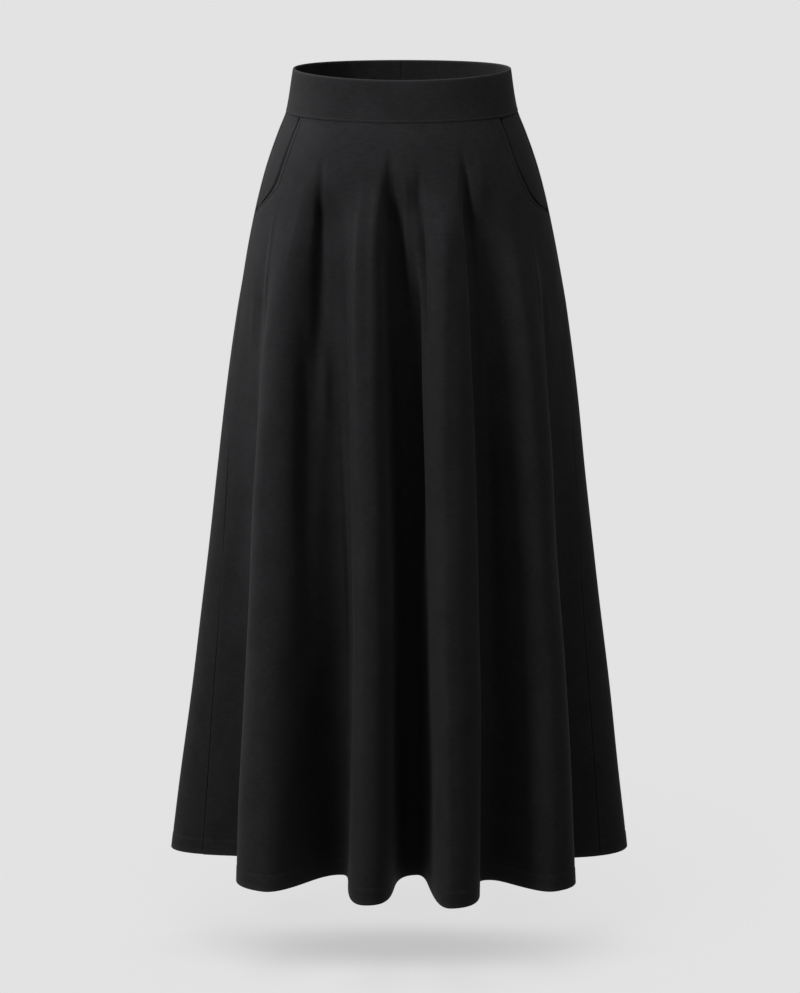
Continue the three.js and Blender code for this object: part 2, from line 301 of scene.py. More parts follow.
def curve(rows, output, x):
    """A steady curve through a table's column: no overshoot between its rows."""
    xs = np.array([row.drop for row in rows], float)
    ys = np.array([getattr(row, output) for row in rows], float)
    width = np.diff(xs)
    rise = np.diff(ys) / width
    slope = np.concatenate([[rise[0]], np.zeros(len(xs) - 2), [rise[-1]]])
    for k in range(1, len(xs) - 1):
        if rise[k - 1] * rise[k] > 0:
            left = 2 * width[k] + width[k - 1]
            right = width[k] + 2 * width[k - 1]
            slope[k] = (left + right) / (left / rise[k - 1] + right / rise[k])
    k = np.clip(np.searchsorted(xs, x) - 1, 0, len(xs) - 2)
    t = np.clip((x - xs[k]) / width[k], 0, 1)
    enter = t * (1 - t) ** 2 * width[k] * slope[k]
    leave = t * t * (t - 1) * width[k] * slope[k + 1]
    return mix(ys[k], ys[k + 1], smooth(t)) + enter + leave


def column(name):
    return np.array([getattr(fold, name) for fold in FOLDS], float)


FOLD_COLUMNS = {name: column(name) for name in Fold._fields if name != "name"}


def turn_of(index, drop):
    t = np.clip((drop - FOLDS_TOP) / (LENGTH - FOLDS_TOP), 0, 1)
    top, middle, hem = (FOLD_COLUMNS[name][index] for name in ("top", "middle", "hem"))
    return top * (1 - t) * (1 - 2 * t) + 4 * middle * t * (1 - t) + hem * t * (2 * t - 1)


def growth_of(index, drop):
    starts = FOLD_COLUMNS["starts"][index]
    share = np.clip((drop - starts) / (LENGTH - starts), 0, 1)
    return share ** FOLD_COLUMNS["rise"][index] * smooth((drop - starts) / SOFT_START)


def smooth_face(place, drop):
    """A point of the folded face in plan, without its small creases."""
    lap = np.floor(place / COUNT)
    first = np.floor(place - lap * COUNT).astype(int) % COUNT
    second = (first + 1) % COUNT
    share = place - lap * COUNT - first
    first_growth = growth_of(first, drop)
    second_growth = growth_of(second, drop)
    fullness = ((first_growth + second_growth) / 2) ** FULLNESS_GROWTH
    after = mix(SLACK, FOLD_COLUMNS["after"][first], fullness)
    before = mix(SLACK, FOLD_COLUMNS["before"][second], fullness)
    rest = 1 - share
    along = 3 * share * rest**2 * after + 3 * share**2 * rest * (1 - before) + share**3
    out = mix(
        FOLD_COLUMNS["out"][first] * first_growth,
        FOLD_COLUMNS["out"][second] * second_growth,
        smooth(share),
    )
    start = turn_of(first, drop) + 360 * lap
    end = turn_of(second, drop) + 360 * (lap + (second == 0))
    angle = np.radians(mix(start, end, along))
    half_width = curve(RINGS, "half_width", drop)
    front = curve(RINGS, "front_depth", drop)
    back = curve(RINGS, "back_depth", drop)
    depth = mix(back, front, (1 + np.cos(angle)) / 2)
    normal = np.stack([np.sin(angle) / half_width, -np.cos(angle) / depth], -1)
    normal /= np.linalg.norm(normal, axis=-1, keepdims=True)
    ring = np.stack([half_width * np.sin(angle), -depth * np.cos(angle)], -1)
    return ring + normal * out[..., None]


def crease_out(place, drop, reach):
    """How far the creases move the cloth; reach is millimetres for one place."""
    total = np.zeros(np.broadcast(place, drop).shape)
    for crease in CREASES:
        t = (drop - crease.head_drop) / (crease.tail_drop - crease.head_drop)
        along = np.clip(t, 0, 1)
        line = mix(crease.head_place, crease.tail_place, along)
        across = (place - line + COUNT / 2) % COUNT - COUNT / 2
        width = mix(crease.head_width, crease.tail_width, along)
        swell = smooth(t / crease.fullest) * smooth((1 - t) / (1 - crease.fullest))
        total += crease.out * swell * mound(across * reach, width)
    return total


def unevenness(place, drop):
    """The slow small waves of a hanging cloth."""
    wave = sum(w.strength * np.sin(place * w.a_place + drop * w.a_drop + w.phase) for w in WAVES)
    return WAVE_HEIGHT * wave * smooth((drop - WAVES_START) / WAVES_RUN)


def face(place, drop):
    """Plan points, outward directions and millimetres a place, creases and all."""
    place, drop = np.broadcast_arrays(np.asarray(place, float), np.asarray(drop, float))
    run = smooth_face(place + STEP, drop) - smooth_face(place - STEP, drop)
    reach = np.linalg.norm(run, axis=-1) / (2 * STEP)
    normal = np.stack([run[..., 1], -run[..., 0]], -1)
    normal /= np.linalg.norm(normal, axis=-1, keepdims=True)
    out = crease_out(place, drop, reach) + unevenness(place, drop)
    out = out * smooth((drop - PANEL_TOP) / CALM_RUN)
    return smooth_face(place, drop) + normal * out[..., None], normal, reach


def place_of_turn(turn, drop):
    turns = np.array([turn_of(k, drop) for k in range(COUNT)])
    turns = np.append(turns, turns[0] + 360)
    index = int(np.clip(np.searchsorted(turns, turn) - 1, 0, COUNT - 1))
    return index + (turn - turns[index]) / (turns[index + 1] - turns[index])


def opening_place(side, drop):
    """The pocket opening's edge, which meets the side seam at its foot."""
    seam = SEAM_LEFT if side == "left" else SEAM_RIGHT
    if drop >= POCKET_END:
        return seam
    place = place_of_turn(float(curve(POCKET_EDGE, side, drop)), drop)
    foot = place_of_turn(float(curve(POCKET_EDGE, side, POCKET_END)), POCKET_END)
    share = float(smooth((drop - PANEL_TOP) / (POCKET_END - PANEL_TOP)))
    return place + (seam - foot) * share


def bag_place(side, drop):
    turn = float(curve(BAG_EDGE, "turn", drop))
    return place_of_turn(-turn if side == "left" else turn, drop)


# Mesh making


def spaced(start, end, count, edge, near=0, near_count=0):
    """Even steps, crowded in the rolled edges and, out to near, finer than the rest."""
    close = np.array([0, 0.15, 0.4, 0.7, 1.0]) * edge
    if near_count:
        close = np.concatenate([close, np.linspace(edge, near, near_count + 1)[1:]])
    even = np.linspace(start + close[-1], end - close[-1], count + 2)[1:-1]
    return np.concatenate([start + close, even, (end - close)[::-1]])


def roll(distance, radius):
    """How far a rolled edge turns in, at a distance from it."""
    t = np.clip(1 - distance / radius, 0, 1)
    return radius * (1 - np.sqrt(1 - t * t))


def points_out(plan, normal, out, height, along=0):
    """Points moved out from the face, and along it, at their heights."""
    sideways = np.stack([-normal[..., 1], normal[..., 0]], -1)
    moved = plan + normal * np.asarray(out)[..., None] + sideways * np.asarray(along)[..., None]
    return np.concatenate([moved, height[..., None]], -1)


def cloth_mesh(name, outer, inner, material, flat_map, edges=None):
    """A closed wall of cloth from two grids of points in millimetres, rows from the top down."""
    rows, columns = outer.shape[:2]
    points = np.concatenate([outer.reshape(-1, 3), inner.reshape(-1, 3)]) * MM
    index = np.arange(rows * columns).reshape(rows, columns)
    back = index + rows * columns
    faces = []

    def quads(a, b, c, d):
        faces.append(np.stack([x.ravel() for x in (a, b, c, d)], 1))

    quads(index[:-1, :-1], index[1:, :-1], index[1:, 1:], index[:-1, 1:])
    quads(back[:-1, :-1], back[:-1, 1:], back[1:, 1:], back[1:, :-1])
    quads(index[0, :-1], index[0, 1:], back[0, 1:], back[0, :-1])
    quads(index[-1, 1:], index[-1, :-1], back[-1, :-1], back[-1, 1:])
    quads(index[:-1, 0], back[:-1, 0], back[1:, 0], index[1:, 0])
    quads(index[:-1, -1], index[1:, -1], back[1:, -1], back[:-1, -1])
    faces = np.concatenate(faces)
    mesh = bpy.data.meshes.new(name)
    mesh.from_pydata(points.tolist(), [], faces.tolist())
    mesh.polygons.foreach_set("use_smooth", np.ones(len(faces), bool))
    uv = np.concatenate([flat_map.reshape(-1, 2)] * 2) * MM
    layer = mesh.uv_layers.new(name="cut")
    layer.data.foreach_set("uv", uv[faces.ravel()].ravel())
    worn = np.zeros((rows, columns)) if edges is None else edges
    attribute = mesh.attributes.new("edge", "FLOAT", "POINT")
    attribute.data.foreach_set("value", np.concatenate([worn.ravel()] * 2))
    mesh.materials.append(material)
    mesh.update()
    piece = bpy.data.objects.new(name, mesh)
    bpy.context.scene.collection.objects.link(piece)
    return piece


def flat_cut(place, drop, start, end, top_width, hem_width):
    """Where a point of a flared panel lies on its flat cut, a slice of a ring."""
    length = LENGTH - PANEL_TOP
    top_radius = length * top_width / (hem_width - top_width)
    angle = ((place - start) / (end - start) - 0.5) * top_width / top_radius
    radius = top_radius + drop - PANEL_TOP
    return np.stack([radius * np.sin(angle), -radius * np.cos(angle)], -1)


def strip_cut(place, drop, reach):
    """Where a point of a straight piece lies on its flat cut, laid out from its first column."""
    steps = np.diff(place, axis=1, prepend=place[:, :1]) * reach
    return np.stack([np.cumsum(steps, 1), -drop], -1)


def hem_shape(above):
    """The turned-up hem by height above its edge: a slight step out, dimpled by its stitching."""
    step = HEM_STEP * smooth((HEM_TURN_UP + HEM_STEP_RUN / 2 - above) / HEM_STEP_RUN)
    return step - STITCH_DIMPLE * mound(above - HEM_TURN_UP - HEM_STITCH_RISE, 1.6)


def pocket_welt(distance, drop):
    """The pocket edge's turned-in fold, a little plump, and the groove of its stitching."""
    plump = 0.25 * mound(distance - POCKET_STITCH_INSET / 2, 1.8)
    groove = 0.55 * mound(distance - POCKET_STITCH_INSET, 0.9)
    return (plump - groove) * smooth((POCKET_END + 3 - drop) / 8)


def seam_allowance(distance, drop, top):
    """How thick the edge's turned-back allowance lies, pressed flat inside below a drop."""
    across = smooth((SEAM_ALLOWANCE - distance) / 1.5)
    return ALLOWANCE_THICKNESS * across * smooth((drop - top) / 8)


def panel_faces(plan, normal, places, drop, distance, has_pockets):
    """The two faces of a skirt panel, with its edges rolled in and its hem turned up."""
    below_band = drop - PANEL_TOP
    above_hem = LENGTH - drop
    tuck = BAND_OVERHANG * (1 - smooth(below_band / TUCK_RUN))
    out = hem_shape(above_hem) - tuck - roll(distance, EDGE_ROLL) - roll(above_hem, EDGE_ROLL)
    out = out + PUCKER_OUT * np.sin(places * PUCKER_RATE) * mound(below_band, PUCKER_RUN)
    if has_pockets:
        out = out + pocket_welt(distance, drop)
    allowance_top = (BAG_BOTTOM if has_pockets else PANEL_TOP) + 6
    wall = CLOTH + HEM_THICKNESS * smooth((HEM_TURN_UP + 1 - above_hem) / 1.5)
    wall = wall - roll(above_hem, HEM_INNER_ROLL) + seam_allowance(distance, drop, allowance_top)
    inside = hem_shape(above_hem) - tuck - wall
    near_seam = smooth(1 - distance / (2 * SEAM_ALLOWANCE))
    lap = SEAM_LAP * near_seam * smooth((drop - LAP_TOP) / SEAM_LAP_RUN)
    height = ORIGIN_DROP - drop
    return points_out(plan, normal, out, height), points_out(plan, normal, inside, height, lap)


def edge_distances(places, reach):
    """Millimetres along the cloth from each column to the nearer side edge."""
    steps = np.abs(np.diff(places, axis=1)) * (reach[:, 1:] + reach[:, :-1]) / 2
    from_left = np.concatenate([np.zeros((len(places), 1)), np.cumsum(steps, 1)], 1)
    return np.minimum(from_left, from_left[:, -1:] - from_left)


def panel_drops():
    """Rows down a panel, closer at its ends and about the hem's turned-up edge."""
    hem_rows = LENGTH - HEM_TURN_UP - HEM_ROW_HEIGHTS
    return np.unique(np.concatenate([spaced(PANEL_TOP, LENGTH, PANEL_ROWS, ROW_EDGE), hem_rows]))


def worn_edges(distance, drop):
    """Where rubbing shows: a little at the side edges, and along the hem."""
    return np.clip(0.2 * mound(distance, 2.5) + mound(LENGTH - drop, 3), 0, 1)


# Finishes
SLUB_CONTRAST = 2.1
SLUB_SHIFT = -1.07
RIB_RELIEF = 0.5
RUBBED_LIGHTER = 1.6
# A soft shadow painted on the floor right under the skirt: the half width and half depth of its
# ellipse in metres, its shift along the depth in shares of that depth, and how much it dims the
# floor's glow at its middle
PAINTED_SHADOW_WIDTH = 0.37
PAINTED_SHADOW_DEPTH = 0.12
PAINTED_SHADOW_SHIFT = -0.05
PAINTED_SHADOW_STRENGTH = 0.245


def node(tree, kind, **inputs):
    """A new shader node with its inputs set; an underscore stands for a space in their names."""
    made = tree.nodes.new(kind)
    for name, value in inputs.items():
        made.inputs[name.replace("_", " ")].default_value = value
    return made


def crepe(name, colour, lighter, ribs, sheen):
    """Matt stretch crepe: fine grain and ribs on the cut, slow colour variation, rubbed edges."""
    material = bpy.data.materials.new(name)
    material.use_nodes = True
    tree = material.node_tree
    link = tree.links.new
    shader = tree.nodes["Principled BSDF"]
    shader.inputs["Metallic"].default_value = 0
    shader.inputs["Specular IOR Level"].default_value = 0.08
    shader.inputs["Sheen Weight"].default_value = sheen
    shader.inputs["Sheen Roughness"].default_value = 0.4
    shader.inputs["Sheen Tint"].default_value = (0.75, 0.77, 0.8, 1)
    cut = tree.nodes.new("ShaderNodeUVMap")
    cut.uv_map = "cut"
    place = tree.nodes.new("ShaderNodeTexCoord")
    grain = node(tree, "ShaderNodeTexNoise", Scale=1500, Detail=4, Roughness=0.65)
    slub = node(tree, "ShaderNodeTexNoise", Scale=420, Detail=5, Roughness=0.72)
    cloud = node(tree, "ShaderNodeTexNoise", Scale=26, Detail=5, Roughness=0.65)
    stretch = node(tree, "ShaderNodeMapping")
    stretch.inputs["Scale"].default_value = (0.3, 1, 1)
    link(cut.outputs["UV"], stretch.inputs["Vector"])
    link(cut.outputs["UV"], grain.inputs["Vector"])
    link(stretch.outputs["Vector"], slub.inputs["Vector"])
    link(place.outputs["Object"], cloud.inputs["Vector"])
    rib = tree.nodes.new("ShaderNodeTexWave")
    rib.wave_type = "BANDS"
    rib.bands_direction = "X"
    rib.inputs["Scale"].default_value = ribs
    rib.inputs["Distortion"].default_value = 1.5
    rib.inputs["Detail"].default_value = 2
    link(cut.outputs["UV"], rib.inputs["Vector"])

    fine = tree.nodes.new("ShaderNodeMath")
    fine.operation = "MULTIPLY_ADD"
    fine.inputs[1].default_value = SLUB_CONTRAST
    fine.inputs[2].default_value = SLUB_SHIFT
    link(slub.outputs["Fac"], fine.inputs[0])
    tone = tree.nodes.new("ShaderNodeMath")
    tone.operation = "ADD"
    link(cloud.outputs["Fac"], tone.inputs[0])
    link(fine.outputs["Value"], tone.inputs[1])
    shade = tree.nodes.new("ShaderNodeMix")
    shade.data_type = "RGBA"
    shade.inputs["A"].default_value = (*colour, 1)
    shade.inputs["B"].default_value = (*lighter, 1)
    link(tone.outputs["Value"], shade.inputs["Factor"])
    worn = tree.nodes.new("ShaderNodeAttribute")
    worn.attribute_name = "edge"
    rub = tree.nodes.new("ShaderNodeMath")
    rub.operation = "MULTIPLY"
    link(worn.outputs["Fac"], rub.inputs[0])
    link(grain.outputs["Fac"], rub.inputs[1])
    rubbed = tree.nodes.new("ShaderNodeMix")
    rubbed.data_type = "RGBA"
    rubbed.inputs["B"].default_value = (*[RUBBED_LIGHTER * value for value in lighter], 1)
    link(rub.outputs["Value"], rubbed.inputs["Factor"])
    link(shade.outputs["Result"], rubbed.inputs["A"])
    link(rubbed.outputs["Result"], shader.inputs["Base Color"])

    rough = node(tree, "ShaderNodeMapRange", To_Min=0.78, To_Max=0.95)
    link(slub.outputs["Fac"], rough.inputs["Value"])
    link(rough.outputs["Result"], shader.inputs["Roughness"])

    relief = tree.nodes.new("ShaderNodeMath")
    relief.operation = "MULTIPLY_ADD"
    relief.inputs[1].default_value = RIB_RELIEF
    link(rib.outputs["Fac"], relief.inputs[0])
    link(grain.outputs["Fac"], relief.inputs[2])
    pebble = tree.nodes.new("ShaderNodeMath")
    pebble.operation = "ADD"
    link(relief.outputs["Value"], pebble.inputs[0])
    link(slub.outputs["Fac"], pebble.inputs[1])
    bump = node(tree, "ShaderNodeBump", Strength=0.55, Distance=0.00018)
    link(pebble.outputs["Value"], bump.inputs["Height"])
    link(bump.outputs["Normal"], shader.inputs["Normal"])
    return material


def thread_finish(name, colour):
    """Spun sewing thread: twisted lines and a low gloss."""
    material = bpy.data.materials.new(name)
    material.use_nodes = True
    tree = material.node_tree
    shader = tree.nodes["Principled BSDF"]
    shader.inputs["Roughness"].default_value = 0.6
    shader.inputs["Specular IOR Level"].default_value = 0.15
    place = tree.nodes.new("ShaderNodeTexCoord")
    twist = node(tree, "ShaderNodeTexNoise", Scale=2600, Detail=2)
    shade = tree.nodes.new("ShaderNodeMix")
    shade.data_type = "RGBA"
    shade.inputs["A"].default_value = (*colour, 1)
    shade.inputs["B"].default_value = (*[2 * value for value in colour], 1)
    bump = node(tree, "ShaderNodeBump", Strength=0.4, Distance=0.0001)
    tree.links.new(place.outputs["Object"], twist.inputs["Vector"])
    tree.links.new(twist.outputs["Fac"], shade.inputs["Factor"])
    tree.links.new(shade.outputs["Result"], shader.inputs["Base Color"])
    tree.links.new(twist.outputs["Fac"], bump.inputs["Height"])
    tree.links.new(bump.outputs["Normal"], shader.inputs["Normal"])
    return material


def paper_floor(name, glow, colour):
    """Evenly glowing studio paper with a faint pulp; a soft shadow is painted into its glow right
    under the skirt.
    """
    material = bpy.data.materials.new(name)
    material.use_nodes = True
    tree = material.node_tree
    shader = tree.nodes["Principled BSDF"]
    shader.inputs["Roughness"].default_value = 1
    shader.inputs["Specular IOR Level"].default_value = 0
    shader.inputs["Emission Color"].default_value = (1, 1, 1, 1)
    place = tree.nodes.new("ShaderNodeTexCoord")
    # Painted shadow: the floor's glow dims towards the middle of an ellipse right under the skirt
    under = tree.nodes.new("ShaderNodeMapping")
    under.inputs["Location"].default_value = (0, PAINTED_SHADOW_SHIFT, 0)
    under.inputs["Scale"].default_value = (1 / PAINTED_SHADOW_WIDTH, 1 / PAINTED_SHADOW_DEPTH, 0)
    middle = tree.nodes.new("ShaderNodeTexGradient")
    middle.gradient_type = "SPHERICAL"
    shaded = node(tree, "ShaderNodeMapRange")
    shaded.interpolation_type = "SMOOTHERSTEP"
    shaded.inputs["To Min"].default_value = glow
    shaded.inputs["To Max"].default_value = glow * (1 - PAINTED_SHADOW_STRENGTH)
    tree.links.new(place.outputs["Object"], under.inputs["Vector"])
    tree.links.new(under.outputs["Vector"], middle.inputs["Vector"])
    tree.links.new(middle.outputs["Fac"], shaded.inputs["Value"])
    tree.links.new(shaded.outputs["Result"], shader.inputs["Emission Strength"])
    pulp = node(tree, "ShaderNodeTexNoise", Scale=3, Detail=3)
    shade = tree.nodes.new("ShaderNodeMix")
    shade.data_type = "RGBA"
    shade.inputs["A"].default_value = (colour, colour, colour, 1)
    shade.inputs["B"].default_value = (1.02 * colour, 1.02 * colour, 1.02 * colour, 1)
    tree.links.new(place.outputs["Object"], pulp.inputs["Vector"])
    tree.links.new(pulp.outputs["Fac"], shade.inputs["Factor"])
    tree.links.new(shade.outputs["Result"], shader.inputs["Base Color"])
    return material


skirt_crepe = crepe("skirt_crepe", (0.0050, 0.0050, 0.0055), (0.0121, 0.0120, 0.0132), 170, 0.015)
band_crepe = crepe("band_crepe", (0.0050, 0.0050, 0.0055), (0.0119, 0.0118, 0.0129), 170, 0.015)
pocketing = crepe("pocketing", (0.004, 0.004, 0.0044), (0.007, 0.007, 0.0075), 240, 0.01)
black_thread = thread_finish("black_thread", (0.012, 0.012, 0.0125))

# Cloth pieces
ROOT = "root"


def settle(piece, nodes):
    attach(piece, ROOT)
    if nodes:
        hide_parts(*nodes)
    return piece


def front_places(drops):
    """The front panel's columns at each drop, drawn in to the pocket edges above their feet."""
    left = SEAM_LEFT + HALF_GAP_PLACE
    right = SEAM_RIGHT - HALF_GAP_PLACE
    even = spaced(left, right, FRONT_COLUMNS, ROLL_PLACE, WELT_PLACE, WELT_COLUMNS)
    rows = []
    for drop in drops:
        place = even.copy()
        near_left = place < LIMIT_LEFT
        near_right = place > LIMIT_RIGHT
        edge = opening_place("left", drop) + HALF_GAP_PLACE
        share = (even[near_left] - left) / (LIMIT_LEFT - left)
        place[near_left] = mix(edge, LIMIT_LEFT, share)
        edge = opening_place("right", drop) - HALF_GAP_PLACE
        share = (right - even[near_right]) / (right - LIMIT_RIGHT)
        place[near_right] = mix(edge, LIMIT_RIGHT, share)
        rows.append(place)
    return np.array(rows)


def skirt_panel(name, places, drops, start, end, widths, has_pockets=False):
    drop = np.broadcast_to(drops[:, None], places.shape)
    plan, normal, reach = face(places, drop)
    distance = edge_distances(places, reach)
    outer, inner = panel_faces(plan, normal, places, drop, distance, has_pockets)
    cut = flat_cut(places, drop, start, end, *widths)
    return cloth_mesh(name, outer, inner, skirt_crepe, cut, worn_edges(distance, drop))


drops = panel_drops()
places = front_places(drops)
front = skirt_panel(
    "front_panel_cloth", places, drops, SEAM_LEFT, SEAM_RIGHT, FRONT_WIDTHS, has_pockets=True
)

back_start = SEAM_RIGHT + HALF_GAP_PLACE
back_end = SEAM_LEFT + COUNT - HALF_GAP_PLACE
places = np.tile(spaced(back_start, back_end, BACK_COLUMNS, ROLL_PLACE), (len(drops), 1))
back = skirt_panel("back_panel_cloth", places, drops, back_start, back_end, BACK_WIDTHS)


def waistband():
    """A doubled strip, folded along its top edge, its ends joined at the centre back."""
    half_gap = math.degrees(BAND_END_GAP / 2 / RINGS[0].half_width)
    turns = spaced(-180 + half_gap, 180 - half_gap, BAND_COLUMNS, BAND_EDGE_DEGREES)
    rows = spaced(0, BAND_HEIGHT, BAND_ROWS, BAND_ROW_EDGE)
    place = np.array([[place_of_turn(turn, drop) for turn in turns] for drop in rows])
    drop = np.broadcast_to(rows[:, None], place.shape)
    plan, normal, reach = face(place, drop)
    ends = edge_distances(place, reach)
    above_seam = BAND_HEIGHT - drop
    side = plan[..., 0] / curve(RINGS, "half_width", drop)
    dip = BAND_DIP * (1 - side**2) * (1 - drop / BAND_HEIGHT)
    height = ORIGIN_DROP - drop - dip
    slack = BAND_SLACK * np.sin(turns * 0.12 + 0.8) * np.sin(drop / BAND_HEIGHT * math.pi)
    rolled = roll(drop, BAND_FOLD_ROLL) + roll(above_seam, BAND_SEAM_ROLL)
    out = slack - rolled - roll(ends, BAND_END_ROLL)
    inside = slack - BAND_THICKNESS + rolled + roll(ends, BAND_INNER_END_ROLL)
    outer = points_out(plan, normal, out, height)
    inner = points_out(plan, normal, inside, height, BAND_LAP)
    cut = np.stack([np.broadcast_to(turns * BAND_CUT_A_DEGREE, drop.shape), -drop], -1)
    worn = np.clip(mound(drop, 2) + 0.5 * mound(above_seam, 1.5), 0, 1)
    return cloth_mesh("waistband_cloth", outer, inner, band_crepe, cut, worn)


band = waistband()


def hip_piece(side):
    """Shows in the pocket opening, and runs on under the front panel as the pocket's back."""
    sign = 1 if side == "left" else -1
    seam = SEAM_LEFT + HALF_GAP_PLACE if side == "left" else SEAM_RIGHT - HALF_GAP_PLACE
    rows = spaced(PANEL_TOP, BAG_BOTTOM, HIP_ROWS, ROW_EDGE)
    share = HIP_SHARES
    steep = smooth((share - HIP_STEEP_START) / HIP_STEEP_RUN)
    fall = mix(steep, smooth(share), HIP_GENTLE_FALL)
    place = np.zeros((len(rows), len(share)))
    inset = np.zeros_like(place)
    for k, drop in enumerate(rows):
        under = opening_place(side, drop) - sign * HIP_SUNK_PLACE
        least = seam + sign * HIP_LEAST_PLACE
        under = max(under, least) if sign > 0 else min(under, least)
        far = bag_place(side, drop)
        place[k] = np.where(share <= 1, mix(seam, under, share), mix(under, far, share - 1))
        sink = smooth((drop - HIP_SINK_START) / (HIP_SINK_END - HIP_SINK_START))
        inset[k] = HIP_DEPTH * mix(fall, 1, sink)
    drop = np.broadcast_to(rows[:, None], place.shape)
    if side == "right":
        place, inset = place[:, ::-1], inset[:, ::-1]
    plan, normal, reach = face(place, drop)
    ends = edge_distances(place, reach)
    inset = inset + roll(ends, HIP_SIDE_ROLL) + roll(drop - PANEL_TOP, HIP_TOP_ROLL)
    height = ORIGIN_DROP - drop
    outer = points_out(plan, normal, -inset, height)
    inner = points_out(plan, normal, -inset - HIP_CLOTH, height)
    return cloth_mesh("hip_cloth_" + side, outer, inner, skirt_crepe, strip_cut(place, drop, reach))


def pocket_bag(side):
    """The bag's front layer: thin pocketing behind the front panel, sewn round its rim."""
    sign = 1 if side == "left" else -1
    rows = spaced(PANEL_TOP, BAG_BOTTOM, BAG_ROWS, ROW_EDGE)
    share = np.linspace(0, 1, BAG_COLUMNS)
    place = np.array([
        mix(opening_place(side, drop) + sign * BAG_START_PLACE, bag_place(side, drop), share)
        for drop in rows
    ])
    drop = np.broadcast_to(rows[:, None], place.shape)
    if side == "right":
        place = place[:, ::-1]
    plan, normal, reach = face(place, drop)
    height = ORIGIN_DROP - drop
    outer = points_out(plan, normal, -BAG_DEPTH, height)
    inner = points_out(plan, normal, -BAG_DEPTH - BAG_CLOTH, height)
    cut = strip_cut(place, drop, reach)
    return cloth_mesh("pocket_bag_cloth_" + side, outer, inner, pocketing, cut)


hips = {side: hip_piece(side) for side in SIDES}
bags = {side: pocket_bag(side) for side in SIDES}

# Stitching


def stitch_tree():
    """Lays one stitch after another along a line of points."""
    tree = bpy.data.node_groups.new("stitches_along_line", "GeometryNodeTree")
    interface = tree.interface
    interface.new_socket("Line", in_out="INPUT", socket_type="NodeSocketGeometry")
    for name, value in (("Pitch", 0.003), ("Stitch length", 0.0022), ("Thread width", 0.0005)):
        socket = interface.new_socket(name, in_out="INPUT", socket_type="NodeSocketFloat")
        socket.default_value = value
    interface.new_socket("Thread", in_out="INPUT", socket_type="NodeSocketMaterial")
    interface.new_socket("Stitches", in_out="OUTPUT", socket_type="NodeSocketGeometry")
    add = tree.nodes.new
    link = tree.links.new
    start = add("NodeGroupInput")
    end = add("NodeGroupOutput")
    path = add("GeometryNodeMeshToCurve")
    steps = add("GeometryNodeResampleCurve")
    steps.mode = "LENGTH"
    ball = add("GeometryNodeMeshUVSphere")
    ball.inputs["Segments"].default_value = 6
    ball.inputs["Rings"].default_value = 5
    ball.inputs["Radius"].default_value = 0.5
    size = add("ShaderNodeCombineXYZ")
    tangent = add("GeometryNodeInputTangent")
    aim = add("FunctionNodeAlignRotationToVector")
    aim.axis = "X"
    lay = add("GeometryNodeInstanceOnPoints")
    real = add("GeometryNodeRealizeInstances")
    rounded = add("GeometryNodeSetShadeSmooth")
    finish = add("GeometryNodeSetMaterial")
    link(start.outputs["Line"], path.inputs["Mesh"])
    link(path.outputs["Curve"], steps.inputs["Curve"])
    link(start.outputs["Pitch"], steps.inputs["Length"])
    link(steps.outputs["Curve"], lay.inputs["Points"])
    link(ball.outputs["Mesh"], lay.inputs["Instance"])
    link(start.outputs["Stitch length"], size.inputs["X"])
    link(start.outputs["Thread width"], size.inputs["Y"])
    link(start.outputs["Thread width"], size.inputs["Z"])
    link(size.outputs["Vector"], lay.inputs["Scale"])
    link(tangent.outputs["Tangent"], aim.inputs["Vector"])
    link(aim.outputs["Rotation"], lay.inputs["Rotation"])
    link(lay.outputs["Instances"], real.inputs["Geometry"])
    link(real.outputs["Geometry"], rounded.inputs["Geometry"])
    link(rounded.outputs["Geometry"], finish.inputs["Geometry"])
    link(start.outputs["Thread"], finish.inputs["Material"])
    link(finish.outputs["Geometry"], end.inputs["Stitches"])
    return tree


STITCHES = stitch_tree()


def stitch_line(name, place, drop, stitch):
    """One row of stitches along the cloth's face, made into a plain mesh."""
    plan, normal, _ = face(place, drop)
    points = points_out(plan, normal, stitch.out, ORIGIN_DROP - drop) * MM
    mesh = bpy.data.meshes.new(name + "_line")
    mesh.from_pydata(points.tolist(), [(k, k + 1) for k in range(len(points) - 1)], [])
    piece = bpy.data.objects.new(name, mesh)
    bpy.context.scene.collection.objects.link(piece)
    modifier = piece.modifiers.new("stitches", "NODES")
    modifier.node_group = STITCHES
    values = {
        "Pitch": stitch.pitch * MM,
        "Stitch length": stitch.length * MM,
        "Thread width": stitch.width * MM,
        "Thread": black_thread,
    }
    for item in STITCHES.interface.items_tree:
        if item.in_out == "INPUT" and item.name in values:
            modifier[item.identifier] = values[item.name]
    bpy.context.view_layer.update()
    graph = bpy.context.evaluated_depsgraph_get()
    made = bpy.data.meshes.new_from_object(piece.evaluated_get(graph))
    piece.modifiers.remove(modifier)
    piece.data = made
    return piece


def pocket_stitches(side):
    """Runs along the pocket opening, a little in from its edge."""
    sign = 1 if side == "left" else -1
    rows = np.linspace(PANEL_TOP + 2, POCKET_END - 1, POCKET_LINE_POINTS)
    edge = np.array([opening_place(side, drop) for drop in rows])
    reach = face(edge, rows)[2]
    run = np.stack([np.gradient(edge) * reach, np.gradient(rows)], -1)
    run /= np.linalg.norm(run, axis=-1, keepdims=True)
    place = edge + sign * POCKET_STITCH_INSET * np.abs(run[:, 1]) / reach
    drop = rows + POCKET_STITCH_INSET * np.abs(run[:, 0])
    return stitch_line("pocket_stitches_" + side, place, drop, POCKET_STITCH)


def band_stitches():
    drop = BAND_HEIGHT - BAND_STITCH_RISE
    turns = np.linspace(-179.7, 179.7, BAND_LINE_POINTS)
    place = np.array([place_of_turn(turn, drop) for turn in turns])
    return stitch_line("waistband_stitches", place, np.full_like(place, drop), BAND_STITCH)


